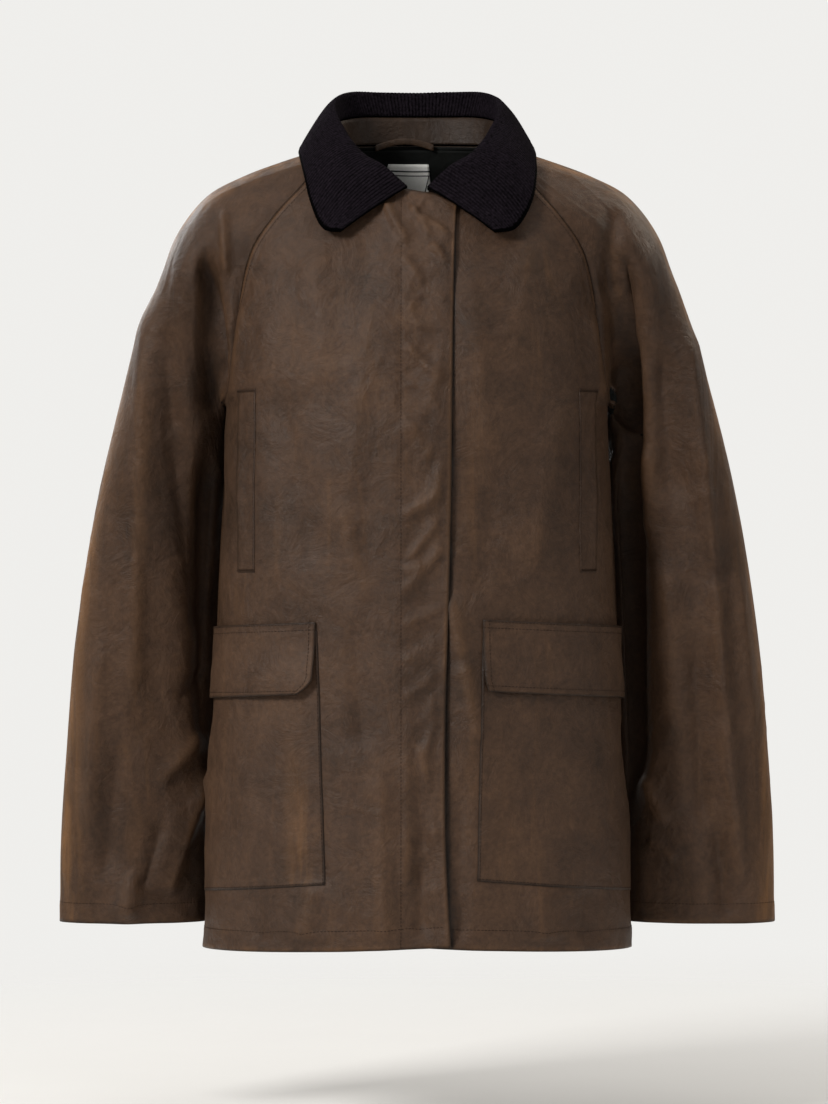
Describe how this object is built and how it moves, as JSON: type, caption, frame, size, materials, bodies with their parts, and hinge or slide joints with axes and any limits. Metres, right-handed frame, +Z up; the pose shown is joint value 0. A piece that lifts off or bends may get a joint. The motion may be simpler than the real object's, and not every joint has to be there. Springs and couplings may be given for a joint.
{
  "type": "waxed cotton jacket",
  "caption": "Hip-length raglan waxed cotton jacket with a corduroy fold-over collar, fly front, slanting hand pockets and flapped patch pockets, hollow as if worn.",
  "frame": {"origin": "middle of the neck opening, level with the tops of the shoulders at the neck, where the wearer holds the jacket up", "axes": "+Z up out of the neck, -Y out of the jacket's front, +X to the wearer's left"},
  "size_m": [0.6848, 0.2954, 0.8293],
  "materials": {
    "waxed_cotton": "dark brown waxed cotton with a dull waxy sheen, rubbed to orange brown on edges and folds",
    "corduroy": "black wide-wale cotton corduroy, matt pile",
    "black_lining": "black woven lining, matt",
    "label_cloth": "off-white woven label with a plain printed frame"
  },
  "bodies": {
    "root": {"front_right": "waxed_cotton", "front_left": "waxed_cotton", "back": "waxed_cotton", "sleeve_front_right": "waxed_cotton", "sleeve_back_right": "waxed_cotton", "sleeve_front_left": "waxed_cotton", "sleeve_back_left": "waxed_cotton", "collar_stand": "waxed_cotton", "collar_fall": "corduroy", "patch_pocket_right": "waxed_cotton", "patch_pocket_left": "waxed_cotton", "pocket_flap_right": "waxed_cotton", "pocket_flap_left": "waxed_cotton", "hand_pocket_welt_right": "waxed_cotton", "hand_pocket_welt_left": "waxed_cotton", "back_lining": "black_lining", "label": "label_cloth", "hanger_loop": "waxed_cotton"}
  },
  "joints": []
}
